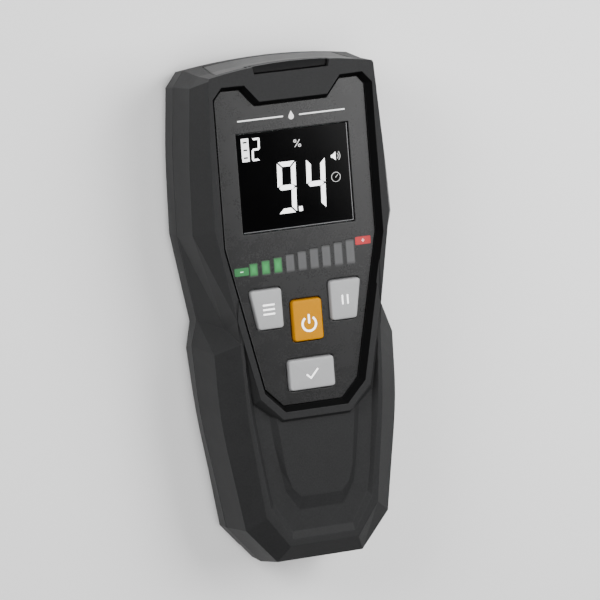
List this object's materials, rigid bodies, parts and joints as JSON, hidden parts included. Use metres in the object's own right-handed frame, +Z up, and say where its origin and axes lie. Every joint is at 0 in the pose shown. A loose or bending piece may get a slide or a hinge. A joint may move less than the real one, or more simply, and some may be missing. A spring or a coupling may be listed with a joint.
{
  "type": "moisture meter",
  "caption": "Hand-held pinless moisture meter for floors, with a display, a row of level bars, four sprung keys, a flat sensor pad on the back and a sliding battery door.",
  "frame": {"origin": "centre of the bottom of the bounding box, in the plane the sensor pad rests on", "axes": "X across the meter to its right, Y along the meter towards the display end, Z up out of the front face"},
  "size_m": [0.066, 0.1562, 0.032],
  "materials": {
    "shell": "fine moulded texture",
    "cap": "satin moulded",
    "window": "smoked, glossy",
    "panel": "fine moulded texture",
    "lens": "glossy",
    "lcd": "polished",
    "backlight": "diffusing",
    "white_plastic": "moulded",
    "lit_bar": "translucent",
    "dim_bar": "translucent",
    "key": "satin",
    "power_key": "satin",
    "silicone": "matt",
    "board": "solder mask",
    "chip": "moulded epoxy",
    "copper": "tinned copper",
    "steel": "plated",
    "pad": "smooth",
    "cell": "printed sleeve",
    "lead": "insulation",
    "red_lead": "insulation"
  },
  "bodies": {
    "housing": {"front_shell": "shell", "rear_shell": "shell", "top_cap": "cap", "alert_window": "window", "control_panel": "panel", "sensor_pad": "pad", "electrode_plate": "copper", "sensor_board": "board", "key_seal": "silicone", "level_reflector": "white_plastic", "display_lens": "lens", "lcd_glass": "lcd", "lcd_backlight": "backlight", "lcd_frame": "white_plastic", "display_ribbon": "copper", "main_board": "board", "processor": "chip", "buzzer": "chip", "alert_led": "white_plastic", "sensor_lead": "lead", "battery_holder": "chip", "battery_lead_red": "red_lead", "battery_lead_black": "lead", "mode_switch": "chip", "hold_switch": "chip", "power_switch": "chip", "set_switch": "chip", "level_bar_1": "lit_bar", "level_bar_2": "lit_bar", "level_bar_3": "lit_bar", "level_bar_4": "dim_bar", "level_bar_5": "dim_bar", "level_bar_6": "dim_bar", "level_bar_7": "dim_bar", "level_bar_8": "dim_bar", "level_bar_9": "dim_bar", "cell_1": "cell", "cell_spring_1": "steel", "cell_contact_1": "steel", "cell_2": "cell", "cell_spring_2": "steel", "cell_contact_2": "steel", "cell_3": "cell", "cell_spring_3": "steel", "cell_contact_3": "steel", "case_screw_1": "steel", "case_screw_2": "steel", "case_screw_3": "steel", "case_screw_4": "steel", "board_screw_1": "steel", "board_screw_2": "steel"},
    "battery_door": {"battery_door": "shell"},
    "mode_key": {"mode_key": "key", "mode_plunger": "white_plastic"},
    "hold_key": {"hold_key": "key", "hold_plunger": "white_plastic"},
    "power_key": {"power_key": "power_key", "power_plunger": "white_plastic"},
    "set_key": {"set_key": "key", "set_plunger": "white_plastic"}
  },
  "joints": [
    {"name": "mode_key_press", "type": "slide", "parent": "housing", "child": "mode_key", "axis": [0, 0, -1], "range_m": [0, 0.0005], "stiffness_N_per_m": 400, "springref_m": -0.0005},
    {"name": "hold_key_press", "type": "slide", "parent": "housing", "child": "hold_key", "axis": [0, 0, -1], "range_m": [0, 0.0005], "stiffness_N_per_m": 400, "springref_m": -0.0005},
    {"name": "power_key_press", "type": "slide", "parent": "housing", "child": "power_key", "axis": [0, 0, -1], "range_m": [0, 0.0005], "stiffness_N_per_m": 400, "springref_m": -0.0005},
    {"name": "set_key_press", "type": "slide", "parent": "housing", "child": "set_key", "axis": [0, 0, -1], "range_m": [0, 0.0005], "stiffness_N_per_m": 400, "springref_m": -0.0005},
    {"name": "battery_door_slide", "type": "slide", "parent": "housing", "child": "battery_door", "axis": [0, -1, 0], "range_m": [0, 0.012]}
  ]
}
